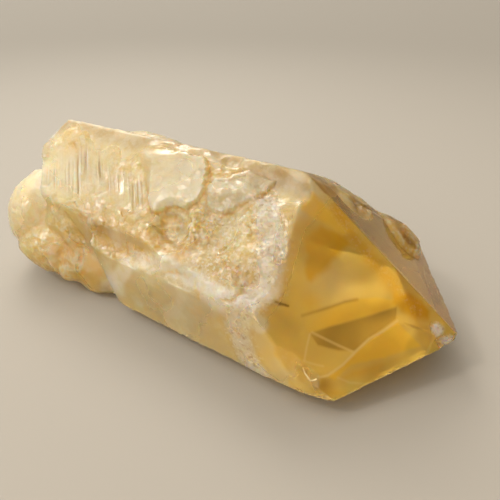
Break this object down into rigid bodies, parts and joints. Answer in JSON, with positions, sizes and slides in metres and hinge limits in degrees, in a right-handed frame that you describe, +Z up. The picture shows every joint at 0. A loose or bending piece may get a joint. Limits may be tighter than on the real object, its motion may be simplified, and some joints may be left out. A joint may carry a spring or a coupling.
{
  "type": "citrine crystal point",
  "caption": "Golden see-through quartz crystal lying on its side, with a faceted point at one end and a broken, rounded base at the other.",
  "frame": {"origin": "centre of the bounding box's bottom, on the plane that the crystal rests on", "axes": "+X along the crystal's long axis toward the point, +Z up, -Y toward the side with the large point face"},
  "size_m": [0.1062, 0.051, 0.0341],
  "materials": {
    "citrine": "clear golden quartz, glossy faces, frosted and shell-shaped breaks"
  },
  "bodies": {
    "root": {"citrine_crystal": "citrine"}
  },
  "joints": []
}
